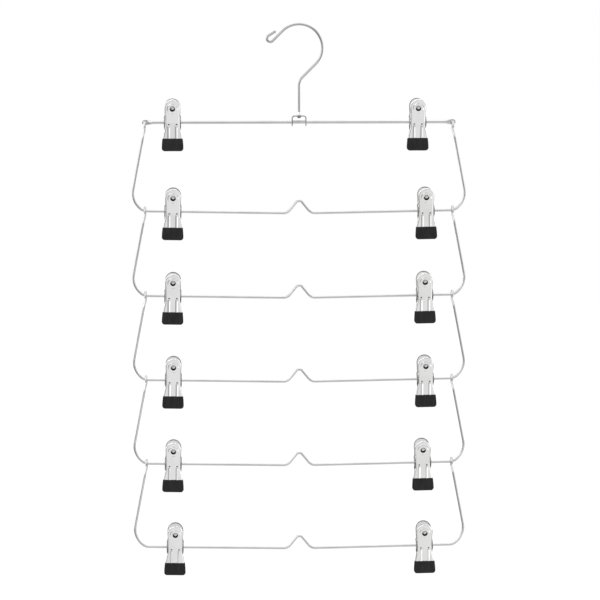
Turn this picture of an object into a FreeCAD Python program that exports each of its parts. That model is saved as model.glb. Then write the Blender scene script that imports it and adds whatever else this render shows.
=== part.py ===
"""Six-tier wire skirt hanger: swivel hook, top bar, five hanging tier wires and twelve sprung clips.

Millimetres, +Z up, X along the bars, viewer on -Y. The origin is the seat inside the hook's arc,
where the rail carries the hanger.
"""
import FreeCAD
import Part
import math
import os

V = FreeCAD.Vector

# Hook
HOOK_WIRE = 2.5
HOOK_RADIUS = 23.0          # centre line of the big arc
HOOK_BEND = 10.0            # bend from the shank into the slanted run
HOOK_SLANT = 45.0           # degrees that the slanted run leans from the shank
TIP_RUN = 13.7              # straight run from the arc to the tip loop
TIP_LOOP = 3.3              # centre line radius of the tip's return loop
TIP_TURN = 195.0            # degrees that the tip turns back
TIP_TAIL = 8.5              # straight end after the loop
HOOK_REACH = 88.5           # from the rail seat down to the top of the bracket

# Swivel
BRACKET_WIDTH = 14.8
BRACKET_SHEET = 1.2
BRACKET_DEPTH = 6.0
BRACKET_CORNER = 3.0
BRACKET_BELOW_BAR = 3.8     # legs past the bar's centre
BAR_DROP = 6.7              # bracket's top face to the top bar's centre
SWIVEL_CLEAR = 0.15
COLLAR_RADIUS = 2.8
COLLAR_HEIGHT = 3.2
COLLAR_LIP = 0.35           # wall at the top of the collar
RIVET_RADIUS = 2.3          # upset end of the shank, under the bracket
RIVET_HEIGHT = 1.6
RIVET_FOOT = 1.6            # radius at the upset's lower end

# Top bar
BAR_WIRE = 3.2
EYE_THICK = 1.6
EYE_HOLE = 1.6              # radius
EYE_RIM = 1.0
EYE_EASE = 0.48             # rounding of the eye's rim
EYE_TAPER = 6.0             # length over which the bar flattens

# Tier wires
TIER_COUNT = 5
TIER_WIRE = 2.5
TIER_PITCH = 84.4           # from a tier's pivot to its bar
HANG_HALF = 152.5           # half the distance between a tier's two hooks
HANG_CLEAR = 0.75           # inside of a hook, round the wire it hangs on
HANG_TIP = 2.5              # free end of the hook past its middle
HANG_STEM = 4.0
STEM_BEND = 4.0
JOG_BEND = 8.0
HANG_JOG = 11.0             # height over which the stem comes back to the middle plane
JOG_OUT = 1.8
ARM_LEAN = 10.84            # degrees that the side arms lean outwards
CORNER_CUT = 2.35           # bar's corner point outside the hook line
SIDE_BEND = 21.0
CORNER_BEND = 10.5
BAR_SLOPE = 1.0             # degrees that each bar half drops towards the notch
PIVOT_RISE = 0.2            # the pivot lies this much above the bar's corner point
NOTCH_HALF = 11.8
NOTCH_HEIGHT = 14.4         # to the sharp point that the peak rounds off
NOTCH_FOOT_BEND = 4.0
NOTCH_PEAK_BEND = 3.0

# Clips: where the left and right clip of each tier stand, as shares of HANG_HALF, from the top down
CLIP_SHARES = (
    (0.8197, 0.7705),
    (0.8197, 0.8262),
    (0.8230, 0.8197),
    (0.8230, 0.8262),
    (0.8262, 0.8098),
    (0.8164, 0.8230),
)
SHEET = 0.8
HANDLE_TOP = 22.8           # above the bar's centre
HANDLE_LEAN = 18.0          # degrees outwards
HANDLE_RADIUS = 7.5
WAIST_HALF = 6.9
WAIST_UP = 8.0
NECK_HALF = 7.6
NECK_DOWN = 8.5
JAW_HALF = 9.2
JAW_TIP = 27.5              # below the bar's centre
JAW_BREAK = 16.0            # depth below which the jaw runs straight down
PLATE_OFF = 4.5             # bar's centre to a plate's inner face, at bar level
PLATE_BEND = 3.0
EAR_RADIUS = 4.2
EAR_ROOT = 5.0              # half height of an ear where it leaves its plate
EAR_GAP = 0.3
EAR_HALF = 8.45             # half width outside the rear ears
EAR_BORE_CLEAR = 0.2
GRIP_HOLE = 2.75            # radius
GRIP_HOLE_DOWN = 9.0        # below the handle's top
GRIP_RING = 5.6             # radius of the raised ring
GRIP_RING_HIGH = 0.5
GRIP_RING_EASE = 0.4        # rounding of the ring's edge
RIB_APART = 7.6
RIB_RADIUS = 1.1
RIB_HIGH = 0.5
RIB_START = 4.0
DIMPLE_RADIUS = 0.8
DIMPLE_DEEP = 0.5
DIMPLE_DOWN = 2.0

# Boots
BOOT_TALL = 12.5
BOOT_TOP_HALF = 10.05
BOOT_FOOT_HALF = 10.8
BOOT_CORNER = 3.2
BOOT_WALL = 0.9
BOOT_EDGE = 0.7             # rounding of the boot's edges
BOOT_GAP = 0.3              # between the two boots of a shut clip

# Springs
SPRING_STRIP = 0.5
SPRING_WIDTH = 7.0
SPRING_CLEAR = 0.4          # round the bar
SPRING_SEAT = 0.3           # to the plate
DOME_RADIUS = 2.3
DOME_HIGH = 1.0
PAD_PAST = 3.6              # strip past the middle of its dome
PAD_BEND = 2.4

NEAR = 1e-4                 # lengths closer than this are taken as equal

# Derived places
HOOK_CENTRE = -(HOOK_RADIUS - HOOK_WIRE / 2)
BAR_Z = -HOOK_REACH - BAR_DROP
EYE_OUTER = EYE_HOLE + EYE_RIM
RIM_REACH = math.hypot(EYE_RIM / 2, EYE_THICK / 2)
HANG_TURN = max(TIER_WIRE / 2, RIM_REACH) + TIER_WIRE / 2 + HANG_CLEAR
FIRST_PIVOT = BAR_Z - HANG_TURN
SLOPE = math.radians(BAR_SLOPE)


def rounded_path(points, radii):
    """A wire through points with each inner corner rounded to its radius."""
    edges = []
    start = points[0]
    for before, corner, after, radius in zip(points, points[1:], points[2:], radii):
        back = (before - corner).normalize()
        ahead = (after - corner).normalize()
        half = back.getAngle(ahead) / 2
        reach = radius / math.tan(half)
        first = corner + back * reach
        last = corner + ahead * reach
        middle = corner + (back + ahead).normalize() * (radius / math.sin(half) - radius)
        if start.distanceToPoint(first) > NEAR:
            edges.append(Part.LineSegment(start, first).toShape())
        edges.append(Part.Arc(first, middle, last).toShape())
        start = last
    edges.append(Part.LineSegment(start, points[-1]).toShape())
    return edges


def round_wire(edges, diameter):
    """A round wire of this diameter along tangent edges."""
    path = Part.Wire(edges)
    first = edges[0]
    start = first.valueAt(first.FirstParameter)
    along = first.tangentAt(first.FirstParameter)
    ring = Part.Wire([Part.makeCircle(diameter / 2, start, along)])
    return path.makePipeShell([ring], True, False)


def polygon(points):
    """Straight edges through points, closed."""
    ring = list(points) + [points[0]]
    return [Part.LineSegment(a, b).toShape() for a, b in zip(ring, ring[1:])]


def make_hook():
    """The hook: shank, slanted run, big arc, and a tip that loops back, with an upset end below."""
    lean = math.radians(HOOK_SLANT)
    corner = HOOK_CENTRE - HOOK_RADIUS / math.sin(lean)
    foot = V(0, 0, -HOOK_REACH - BRACKET_SHEET - SWIVEL_CLEAR - RIVET_HEIGHT / 2)
    joint = V(HOOK_RADIUS * math.cos(lean), 0, HOOK_CENTRE - HOOK_RADIUS * math.sin(lean))
    edges = rounded_path([foot, V(0, 0, corner), joint], [HOOK_BEND])
    top = V(HOOK_RADIUS * math.sin(lean), 0, HOOK_CENTRE + HOOK_RADIUS * math.cos(lean))
    leave = V(-HOOK_RADIUS * math.cos(lean), 0, HOOK_CENTRE + HOOK_RADIUS * math.sin(lean))
    edges.append(Part.Arc(joint, top, leave).toShape())
    down = V(-math.sin(lean), 0, -math.cos(lean))
    side = V(-math.cos(lean), 0, math.sin(lean))
    tip = leave + down * TIP_RUN
    edges.append(Part.LineSegment(leave, tip).toShape())
    centre = tip + side * TIP_LOOP

    def on_loop(turn):
        angle = math.radians(turn)
        return centre - side * (TIP_LOOP * math.cos(angle)) + down * (TIP_LOOP * math.sin(angle))

    edges.append(Part.Arc(tip, on_loop(TIP_TURN / 2), on_loop(TIP_TURN)).toShape())
    turned = math.radians(TIP_TURN)
    ahead = side * math.sin(turned) + down * math.cos(turned)
    edges.append(Part.LineSegment(on_loop(TIP_TURN), on_loop(TIP_TURN) + ahead * TIP_TAIL).toShape())
    wire = round_wire(edges, HOOK_WIRE)
    under = -HOOK_REACH - BRACKET_SHEET - SWIVEL_CLEAR
    upset = Part.makeCone(RIVET_RADIUS, RIVET_FOOT, RIVET_HEIGHT, V(0, 0, under), V(0, 0, -1))
    return wire.fuse(upset).removeSplitter()


def make_collar():
    """The flared ferrule on the shank, just above the bracket."""
    base = V(0, 0, -HOOK_REACH + SWIVEL_CLEAR)
    cone = Part.makeCone(COLLAR_RADIUS, HOOK_WIRE / 2 + COLLAR_LIP, COLLAR_HEIGHT, base, V(0, 0, 1))
    shank = Part.makeCylinder(HOOK_WIRE / 2, COLLAR_HEIGHT, base, V(0, 0, 1))
    return cone.cut(shank)


def make_bracket():
    """The inverted U of sheet, bored for the shank and for the bar."""
    half = BRACKET_WIDTH / 2
    top = -HOOK_REACH
    foot = BAR_Z - BRACKET_BELOW_BAR
    y = -BRACKET_DEPTH / 2
    outer = Part.makeBox(BRACKET_WIDTH, BRACKET_DEPTH, top - foot, V(-half, y, foot))
    outer = outer.makeFillet(BRACKET_CORNER, top_edges(outer))
    inner_half = half - BRACKET_SHEET
    inner = Part.makeBox(2 * inner_half, BRACKET_DEPTH, top - foot - BRACKET_SHEET, V(-inner_half, y, foot))
    inner = inner.makeFillet(BRACKET_CORNER - BRACKET_SHEET, top_edges(inner))
    bracket = outer.cut(inner)
    above = V(0, 0, top + BRACKET_SHEET)
    shank = Part.makeCylinder(HOOK_WIRE / 2 + SWIVEL_CLEAR, 3 * BRACKET_SHEET, above, V(0, 0, -1))
    bar = Part.makeCylinder(BAR_WIRE / 2, 2 * BRACKET_WIDTH, V(-BRACKET_WIDTH, 0, BAR_Z), V(1, 0, 0))
    return bracket.cut(shank).cut(bar)


def top_edges(block):
    """The upper edges of a block that run along Y."""
    level = block.BoundBox.ZMax - NEAR
    return [e for e in block.Edges if e.BoundBox.ZMin > level and e.BoundBox.XLength < NEAR]


def make_top_bar():
    """The top bar: a round rod whose ends flatten into pierced eyes."""
    round_half = HANG_HALF - EYE_OUTER - EYE_TAPER
    rod = Part.makeCylinder(BAR_WIRE / 2, 2 * round_half, V(-round_half, 0, BAR_Z), V(1, 0, 0))
    solids = []
    for sign in (-1, 1):
        start = Part.Wire([Part.makeCircle(BAR_WIRE / 2, V(sign * round_half, 0, BAR_Z), V(1, 0, 0))])
        taper = Part.makeLoft([start, flat_section(sign * (HANG_HALF - EYE_OUTER))], True)
        blade = Part.makeBox(EYE_OUTER, EYE_THICK, 2 * EYE_OUTER, V(0, -EYE_THICK / 2, BAR_Z - EYE_OUTER))
        blade.translate(V(HANG_HALF - EYE_OUTER if sign > 0 else -HANG_HALF, 0, 0))
        centre = V(sign * HANG_HALF, -EYE_THICK / 2, BAR_Z)
        disc = Part.makeCylinder(EYE_OUTER, EYE_THICK, centre, V(0, 1, 0))
        hole = Part.makeCylinder(EYE_HOLE, EYE_THICK, centre, V(0, 1, 0))
        eye = blade.fuse(disc).removeSplitter()
        eye = eye.makeFillet(EYE_EASE, rim_edges(eye, sign))
        solids.append(taper.fuse(eye).cut(hole))
    return rod.fuse(solids).removeSplitter()


def flat_section(x):
    """The flattened end of the taper at x: an ellipse as tall as the eye and as thick."""
    tall = EYE_OUTER
    deep = EYE_THICK / 2
    ellipse = Part.Ellipse(V(x, 0, BAR_Z + tall), V(x, deep, BAR_Z), V(x, 0, BAR_Z))
    return Part.Wire([ellipse.toShape()])


def rim_edges(eye, sign):
    """The long outer edges of an eye, on both of its faces."""
    inner_x = sign * (HANG_HALF - EYE_OUTER)
    flat = [e for e in eye.Edges if e.BoundBox.YLength < NEAR]
    return [e for e in flat if abs(e.CenterOfMass.x - inner_x) > NEAR]


def tier_points():
    """Corner points and bends of a tier wire's right half, from its hook to the notch, pivot at zero."""
    turn = HANG_TURN
    bar = -TIER_PITCH
    cut_x = HANG_HALF + CORNER_CUT
    lean = math.tan(math.radians(ARM_LEAN))
    jog = V(HANG_HALF + JOG_OUT, 0, -HANG_JOG)
    # the arm's line meets the 45 degree corner line here
    side_z = (jog.x - lean * HANG_JOG - cut_x + bar) / (1 + lean)
    side_x = cut_x + side_z - bar
    foot_z = bar - (cut_x - NOTCH_HALF) * math.tan(SLOPE)
    points = [
        V(HANG_HALF, -turn, -HANG_TIP),
        V(HANG_HALF, -turn, turn),
        V(HANG_HALF, turn, turn),
        V(HANG_HALF, turn, -HANG_STEM),
        jog,
        V(side_x, 0, side_z),
        V(cut_x, 0, bar),
        V(NOTCH_HALF, 0, foot_z),
        V(0, 0, foot_z + NOTCH_HEIGHT),
    ]
    bends = [turn, turn, STEM_BEND, JOG_BEND, SIDE_BEND, CORNER_BEND, NOTCH_FOOT_BEND, NOTCH_PEAK_BEND]
    return points, bends


def make_tier(pivot_z):
    """One tier wire, hung at this height: hook, arm, bar, notch, bar, arm, hook."""
    right, bends = tier_points()
    left = [V(-p.x, p.y, p.z) for p in reversed(right[:-1])]
    wire = round_wire(rounded_path(right + left, bends + bends[-2::-1]), TIER_WIRE)
    wire.translate(V(0, 0, pivot_z))
    return wire


def side_profile():
    """The plate's inner line in the YZ plane, from the handle's top to the jaw's tip, on the +Y side."""
    lean = math.tan(math.radians(HANDLE_LEAN))
    jaw_y = BOOT_GAP / 2 + BOOT_WALL
    return [
        V(0, PLATE_OFF + lean * HANDLE_TOP, HANDLE_TOP),
        V(0, PLATE_OFF, 0),
        V(0, jaw_y, -JAW_BREAK),
        V(0, jaw_y, -JAW_TIP),
    ]


def sheet_between(inner, thick, half_width):
    """A bent sheet: the inner line thickened outwards and pulled across the plate's width."""
    line = Part.Wire(rounded_path(inner, [PLATE_BEND, PLATE_BEND]))
    shift = V(0, thick, 0)
    far = line.copy()
    far.translate(shift)
    ends = [Part.LineSegment(p, p + shift).toShape() for p in (inner[0], inner[-1])]
    face = Part.Face(Part.Wire(Part.__sortEdges__(line.Edges + far.Edges + ends)))
    face.translate(V(-half_width, 0, 0))
    return face.extrude(V(2 * half_width, 0, 0))


def plate_outline(shoulder):
    """The plate's front outline: round handle end, waist, shoulders at bar level, neck and jaw."""
    top = HANDLE_TOP - HANDLE_RADIUS
    right = [
        V(HANDLE_RADIUS, 0, top),
        V(WAIST_HALF, 0, WAIST_UP),
        V(shoulder, 0, EAR_ROOT),
        V(shoulder, 0, -EAR_ROOT),
        V(NECK_HALF, 0, -NECK_DOWN),
        V(JAW_HALF, 0, -JAW_BREAK),
        V(JAW_HALF, 0, -JAW_TIP),
    ]
    line = right + [V(-p.x, 0, p.z) for p in reversed(right)]
    edges = [Part.LineSegment(a, b).toShape() for a, b in zip(line, line[1:])]
    edges.append(Part.Arc(line[-1], V(0, 0, HANDLE_TOP), line[0]).toShape())
    return edges


def handle_frame():
    """A point on the outer face at the grip hole, and the face's outward direction, on the +Y side."""
    lean = math.radians(HANDLE_LEAN)
    z = HANDLE_TOP - GRIP_HOLE_DOWN
    spot = V(0, PLATE_OFF + SHEET + z * math.tan(lean), z)
    return spot, V(0, math.cos(lean), -math.sin(lean))


def make_plate(bar_radius, ear_outer):
    """A clip plate on the +Y side, with ears whose outer faces stand ear_outer from the middle."""
    sheet = sheet_between(side_profile(), SHEET, 2 * JAW_HALF)
    outline = Part.Face(Part.Wire(plate_outline(ear_outer))).extrude(V(0, 4 * HANDLE_TOP, 0))
    plate = sheet.common(outline)
    for sign in (-1, 1):
        plate = plate.fuse(make_ear(sign, ear_outer))
    plate = plate.cut(bar_hole(bar_radius + EAR_BORE_CLEAR))
    spot, out = handle_frame()
    ring = Part.makeCylinder(GRIP_RING, GRIP_RING_HIGH + SHEET / 2, spot - out * (SHEET / 2), out)
    ring = ring.makeFillet(GRIP_RING_EASE, [outer_rim(ring, out)])
    plate = plate.fuse(ring)
    plate = plate.cut(Part.makeCylinder(GRIP_HOLE, 6 * SHEET, spot - out * (3 * SHEET), out))
    for sign in (-1, 1):
        plate = plate.fuse(make_rib(sign))
        plate = plate.cut(make_dimple(sign))
    return plate.removeSplitter()


def outer_rim(ring, out):
    """The ring's outermost round edge."""
    circles = [e for e in ring.Edges if isinstance(e.Curve, Part.Circle)]
    return max(circles, key=lambda e: e.CenterOfMass.dot(out))


def make_ear(sign, ear_outer):
    """One ear: a flat tab from the plate's edge to a round end about the bar."""
    root = PLATE_OFF + SHEET / 2
    tip = Part.makeCylinder(EAR_RADIUS, SHEET, V(0, 0, 0), V(1, 0, 0))
    away = math.atan2(root, EAR_ROOT)
    touch = math.acos(EAR_RADIUS / math.hypot(root, EAR_ROOT))
    angle = away - touch
    side = V(0, EAR_RADIUS * math.sin(angle), EAR_RADIUS * math.cos(angle))
    corners = [side, V(0, root, EAR_ROOT), V(0, root, -EAR_ROOT), V(0, side.y, -side.z)]
    web = Part.Face(Part.Wire(polygon(corners))).extrude(V(SHEET, 0, 0))
    ear = tip.fuse(web)
    ear.translate(V(ear_outer - SHEET if sign > 0 else -ear_outer, 0, 0))
    return ear


def bar_hole(radius):
    """The hole that the bar runs through, across the whole clip."""
    reach = 2 * EAR_HALF
    return Part.makeCylinder(radius, 2 * reach, V(-reach, 0, 0), V(1, 0, 0))


def jaw_face(depth):
    """The Y of the plate's outer face this far below the bar, on the slanted stretch of the jaw."""
    jaw_y = BOOT_GAP / 2 + BOOT_WALL
    return PLATE_OFF + SHEET - (PLATE_OFF - jaw_y) * depth / JAW_BREAK


def make_rib(sign):
    """One pressed rib: a round bead down the jaw's slanted face, from under the bar to the boot."""
    x = sign * RIB_APART / 2
    sunk = RIB_RADIUS - RIB_HIGH
    end = JAW_TIP - BOOT_TALL + BOOT_WALL
    first = V(x, jaw_face(RIB_START) - sunk, -RIB_START)
    last = V(x, jaw_face(end) - sunk, -end)
    run = last - first
    bead = Part.makeCylinder(RIB_RADIUS, run.Length, first, run)
    nose = Part.makeSphere(RIB_RADIUS, first)
    keep = sheet_between(side_profile(), SHEET + RIB_RADIUS, JAW_HALF)
    return bead.fuse(nose).common(keep)


def make_dimple(sign):
    """One small round pit above a rib."""
    spot = V(sign * RIB_APART / 2, jaw_face(DIMPLE_DOWN) - DIMPLE_DEEP, -DIMPLE_DOWN)
    return Part.makeCylinder(DIMPLE_RADIUS, 4 * SHEET, spot, V(0, 1, 0))


def make_boot(plate):
    """A boot on the +Y side: a cap with round corners, wider at its foot, hollowed by its plate."""
    inner_y = BOOT_GAP / 2
    deep = 2 * BOOT_WALL + SHEET
    foot = -JAW_TIP - BOOT_WALL
    top = foot + BOOT_TALL
    outline = rounded_path(
        [V(0, inner_y, top), V(BOOT_TOP_HALF, inner_y, top), V(BOOT_FOOT_HALF, inner_y, foot),
         V(-BOOT_FOOT_HALF, inner_y, foot), V(-BOOT_TOP_HALF, inner_y, top), V(0, inner_y, top)],
        [BOOT_EDGE, BOOT_CORNER, BOOT_CORNER, BOOT_EDGE],
    )
    cap = Part.Face(Part.Wire(outline)).extrude(V(0, deep, 0))
    outer_y = inner_y + deep
    cap = cap.makeFillet(BOOT_EDGE, [e for e in cap.Edges if e.BoundBox.YMin > outer_y - NEAR])
    return cap.cut(plate)


def make_spring(bar_radius):
    """The leaf spring: a strip round the bar's underside, its legs domed where they sit in the plates."""
    lean = math.radians(HANDLE_LEAN)
    spot, out = handle_frame()
    seat = spot - out * (SHEET + SPRING_SEAT)
    rise = V(0, math.sin(lean), math.cos(lean))
    bend = bar_radius + SPRING_CLEAR + SPRING_STRIP / 2
    end = seat + rise * PAD_PAST - out * (SPRING_STRIP / 2)
    low = seat - rise * PAD_PAST - out * (SPRING_STRIP / 2)
    right = [end, low, V(0, bend, 0), V(0, bend, -bend)]
    left = [V(0, -p.y, p.z) for p in reversed(right)]
    radii = [PAD_BEND, PLATE_BEND, bend, bend, PLATE_BEND, PAD_BEND]
    edges = rounded_path(right + left, radii)
    section = polygon(strip_section(end, out))
    strip = Part.Wire(edges).makePipeShell([Part.Wire(section)], True, False)
    for sign in (1, -1):
        strip = strip.fuse(make_dome(seat, out, sign))
    return strip.removeSplitter()


def strip_section(end, out):
    """The strip's oblong section at its end."""
    across = V(SPRING_WIDTH / 2, 0, 0)
    thick = out * (SPRING_STRIP / 2)
    return [end - across - thick, end + across - thick, end + across + thick, end - across + thick]


def make_dome(seat, out, sign):
    """The dome that stands from a spring's end into the plate's hole."""
    ball = (DOME_RADIUS ** 2 + DOME_HIGH ** 2) / (2 * DOME_HIGH)
    centre = seat - out * (ball - DOME_HIGH)
    cap = Part.makeSphere(ball, centre)
    keep = Part.makeCylinder(DOME_RADIUS, DOME_HIGH + SPRING_STRIP / 2, seat - out * (SPRING_STRIP / 2), out)
    dome = cap.common(keep)
    return dome if sign > 0 else dome.mirror(V(0, 0, 0), V(0, 1, 0))


def clip_parts(bar_radius):
    """One clip's four nodes about a bar along X at the origin."""
    rear_plate = make_plate(bar_radius, EAR_HALF)
    front_plate = make_plate(bar_radius, EAR_HALF - SHEET - EAR_GAP).mirror(V(0, 0, 0), V(0, 1, 0))
    rear_boot = make_boot(rear_plate)
    front_boot = make_boot(front_plate.mirror(V(0, 0, 0), V(0, 1, 0))).mirror(V(0, 0, 0), V(0, 1, 0))
    return {
        "front_plate": front_plate,
        "front_boot": front_boot,
        "rear_jaw": Part.Compound([rear_plate, rear_boot]),
        "spring": make_spring(bar_radius),
    }


def bar_height(tier, station):
    """The height of a bar's centre this far from the middle, tier 1 being the top bar."""
    if tier == 1:
        return BAR_Z
    inward = HANG_HALF + CORNER_CUT - station
    return tier_pivot(tier) - TIER_PITCH - inward * math.tan(SLOPE)


def tier_pivot(tier):
    """The height of the pivot that a tier hangs at, tier 2 being the first wire."""
    return FIRST_PIVOT - (tier - 2) * (TIER_PITCH - PIVOT_RISE)


def export(name, shape):
    """Write one node, after a look at its solids."""
    volumes = [round(s.Volume, 1) for s in shape.Solids]
    if not shape.isValid() or not volumes or min(volumes) <= 0:
        raise ValueError(f"{name} is not a sound solid: {volumes}")
    shape.exportStep(f"parts/{name}.step")
    print(name, volumes)


def main():
    """Build and write every node."""
    os.makedirs("parts", exist_ok=True)
    export("hook", make_hook())
    export("hook_collar", make_collar())
    export("swivel_bracket", make_bracket())
    export("top_bar", make_top_bar())
    for tier in range(2, TIER_COUNT + 2):
        export(f"tier_{tier}_wire", make_tier(tier_pivot(tier)))
    on_top_bar = clip_parts(BAR_WIRE / 2)
    on_tier = clip_parts(TIER_WIRE / 2)
    for tier, shares in enumerate(CLIP_SHARES, 1):
        for side, sign, share in (("left", -1, shares[0]), ("right", 1, shares[1])):
            station = HANG_HALF * share
            tilt = 0.0 if tier == 1 else -sign * BAR_SLOPE
            place = V(sign * station, 0, bar_height(tier, station))
            for piece, shape in (on_top_bar if tier == 1 else on_tier).items():
                copy = shape.copy()
                copy.rotate(V(0, 0, 0), V(0, 1, 0), tilt)
                copy.translate(place)
                export(f"clip_{tier}_{side}_{piece}", copy)


main()
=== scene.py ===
"""Chrome skirt hanger in six tiers: swivel hook, top bar, hanging tier wires and sprung clips.

Every shape is worked out in millimetres in the frame of the solids and handed to Blender in metres.
"""
import logging
import math
from dataclasses import dataclass, field
from enum import Enum
from typing import Any, Optional, Sequence, Union

import bpy
import numpy as np
from mathutils import Matrix, Vector


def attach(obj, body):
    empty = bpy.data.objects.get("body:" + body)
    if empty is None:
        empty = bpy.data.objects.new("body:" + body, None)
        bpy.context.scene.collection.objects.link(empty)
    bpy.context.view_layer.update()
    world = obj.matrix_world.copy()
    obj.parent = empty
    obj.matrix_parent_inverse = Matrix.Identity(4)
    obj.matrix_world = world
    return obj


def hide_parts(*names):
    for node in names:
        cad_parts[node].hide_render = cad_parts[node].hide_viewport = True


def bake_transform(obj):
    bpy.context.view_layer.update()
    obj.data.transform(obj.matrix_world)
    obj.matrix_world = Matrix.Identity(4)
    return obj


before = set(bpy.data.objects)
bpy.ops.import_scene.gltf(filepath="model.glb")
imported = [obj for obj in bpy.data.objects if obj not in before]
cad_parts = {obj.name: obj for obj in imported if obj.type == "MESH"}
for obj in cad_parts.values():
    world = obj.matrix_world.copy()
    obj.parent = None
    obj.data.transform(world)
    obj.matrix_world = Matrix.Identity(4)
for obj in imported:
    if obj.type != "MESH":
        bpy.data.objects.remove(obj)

Array = np.ndarray
Place = tuple[float, float, float]
Colour = tuple[float, float, float, float]
Grain = tuple[float, float, float]  # a noise's scale, detail and roughness
Span = tuple[float, float, float, float]  # from, to, and the values given there
LOG = logging.getLogger("skirt_hanger")
MM = 0.001
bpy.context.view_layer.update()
X_WAY, Y_WAY, Z_WAY = np.eye(3)
MIRROR_X = np.array((-1.0, 1.0, 1.0))
MIRROR_Y = np.array((1.0, -1.0, 1.0))
QUARTER = math.pi / 2.0
NEAR = 1e-6  # points on a route closer than this are one
WELD = 1e-4  # vertices closer than this are one
END_SHARE = 0.25  # share of a wire's width over which its cut ends dome
END_POINTS = 6
END_LEAST = 0.01  # share of its size that a domed end comes down to
ARC_LEAST = 8  # fewest stretches of an arc
BLACK, WHITE = (0.0, 0.0, 0.0, 1.0), (1.0, 1.0, 1.0, 1.0)
# mask of painted shade: dimple floors and the spring's seats are coloured dark where shade falls
PAINTED_SHADE = "painted_shade_depth"


class Side(Enum):
    """Which half of the hanger something is on; the value is the sign of X."""

    LEFT = -1
    RIGHT = 1


class Slot(Enum):
    """The record's material slots."""

    WIRE = "chrome_wire"
    PLATE = "chrome_plate"
    SPRING = "spring_steel"
    VINYL = "black_vinyl"


class Lay(Enum):
    """Attributes that carry a pattern along a surface."""

    DRAWN = "drawn_lay"
    ROLLED = "rolled_lay"


# Surfaces


@dataclass
class Surface:
    """Vertices in millimetres, their faces, and a lay that patterns follow.

    Attributes:
        points: vertex places, one row each.
        faces: index arrays, each of quads or of triangles.
        lay: one vector per vertex, in millimetres across and along the stock it was made from.
    """

    points: Array
    faces: list[Array]
    lay: Array

    def joined(self, other: "Surface") -> "Surface":
        """Both surfaces in one, not welded."""
        faces = self.faces + [f + len(self.points) for f in other.faces]
        return Surface(np.vstack((self.points, other.points)), faces, np.vstack((self.lay, other.lay)))

    def moved(self, turn: Array, place: Array) -> "Surface":
        """The surface turned by a matrix and then carried to a place."""
        return Surface(self.points @ turn.T + place, self.faces, self.lay)

    def turned_over(self) -> "Surface":
        """The surface mirrored in Y, its faces turned round so that they still point outwards."""
        return Surface(self.points * MIRROR_Y, [f[:, ::-1] for f in self.faces], self.lay)


def grid_faces(rows: int, columns: int, wrap_rows: bool = False, wrap_columns: bool = False) -> Array:
    """Quads of a grid of vertices numbered row by row.

    Args:
        rows: number of rows.
        columns: number of vertices in a row.
        wrap_rows: whether the last row joins the first.
        wrap_columns: whether each row's last vertex joins its first.

    Returns:
        One quad per row of the array, as vertex numbers.
    """
    i = np.arange(rows if wrap_rows else rows - 1)[:, None]
    j = np.arange(columns if wrap_columns else columns - 1)[None, :]
    on_i, on_j = (i + 1) % rows, (j + 1) % columns
    corners = (i * columns + j, i * columns + on_j, on_i * columns + on_j, on_i * columns + j)
    return np.stack(corners, axis=-1).reshape(-1, 4)


def from_grids(x: Array, y: Array, z: Array, faces: Array) -> Surface:
    """A surface from grids of coordinates, with the places themselves as its lay."""
    points = np.stack((x, y, z), axis=2).reshape(-1, 3)
    return Surface(points, [faces], points.copy())


def closed_rings(rings: Array, poles: Array) -> tuple[Array, list[Array]]:
    """Rows of rings closed by a pole before the first row and by one after the last.

    Args:
        rings: points by row, by place in the ring and by coordinate.
        poles: the two poles.

    Returns:
        All the points, and the faces between the rows and round the poles.
    """
    rows, columns = rings.shape[:2]
    j = np.arange(columns)
    after, pole = (j + 1) % columns, rows * columns
    first = np.stack((np.full(columns, pole), after, j), axis=1)
    last = np.stack((np.full(columns, pole + 1), pole - columns + j, pole - columns + after), axis=1)
    faces = [grid_faces(rows, columns, wrap_columns=True), first, last]
    return np.vstack((rings.reshape(-1, 3), poles)), faces


def unit(vectors: Array) -> Array:
    """Each vector divided by its own length."""
    return vectors / np.linalg.norm(vectors, axis=-1, keepdims=True)


def smooth(value: Array, low: float, high: float) -> Array:
    """The cubic step 3t^2 - 2t^3, with t running from 0 at low to 1 at high."""
    t = np.clip((value - low) / (high - low), 0.0, 1.0)
    return t * t * (3.0 - 2.0 * t)


def quarter_drop(t: Array) -> Array:
    """How far a quarter circle falls away: 1 - sqrt(1 - t^2), with t held between 0 and 1."""
    return 1.0 - np.sqrt(1.0 - np.clip(t, 0.0, 1.0) ** 2)


def straight(start: Array, end: Array, step: float) -> Array:
    """Even points on a straight run, no more than a step apart."""
    count = max(1, math.ceil(float(np.linalg.norm(end - start)) / step))
    return start + (end - start) * np.linspace(0.0, 1.0, count + 1)[:, None]


def rounded_route(corners: Array, bends: Sequence[float], step: float) -> Array:
    """Points along straight runs joined by arcs.

    Each inner corner is cut back by radius / tan(half its angle), and an arc of that radius about the
    point on the corner's bisector joins the two runs. Points are half as far apart on an arc.

    Args:
        corners: the runs' end points.
        bends: one radius per inner corner.
        step: greatest distance between two points.

    Returns:
        The points, from the first corner to the last.
    """
    stretches = [corners[:1]]
    for before, corner, after, radius in zip(corners, corners[1:], corners[2:], bends):
        back, ahead = unit(before - corner), unit(after - corner)
        half = math.acos(float(np.clip(back @ ahead, -1.0, 1.0))) / 2.0
        centre = corner + unit(back + ahead) * radius / math.sin(half)
        first = corner + back * radius / math.tan(half)
        turn = math.pi - 2.0 * half
        count = max(ARC_LEAST, math.ceil(turn * radius / step * 2.0))
        angle = np.linspace(0.0, turn, count + 1)[:, None]
        stretches.append(straight(stretches[-1][-1], first, step))
        stretches.append(centre + (first - centre) * np.cos(angle) - back * radius * np.sin(angle))
    stretches.append(straight(stretches[-1][-1], corners[-1], step))
    points = np.vstack(stretches)
    apart = np.linalg.norm(np.diff(points, axis=0), axis=1) > NEAR
    return points[np.concatenate(([True], apart))]


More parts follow.
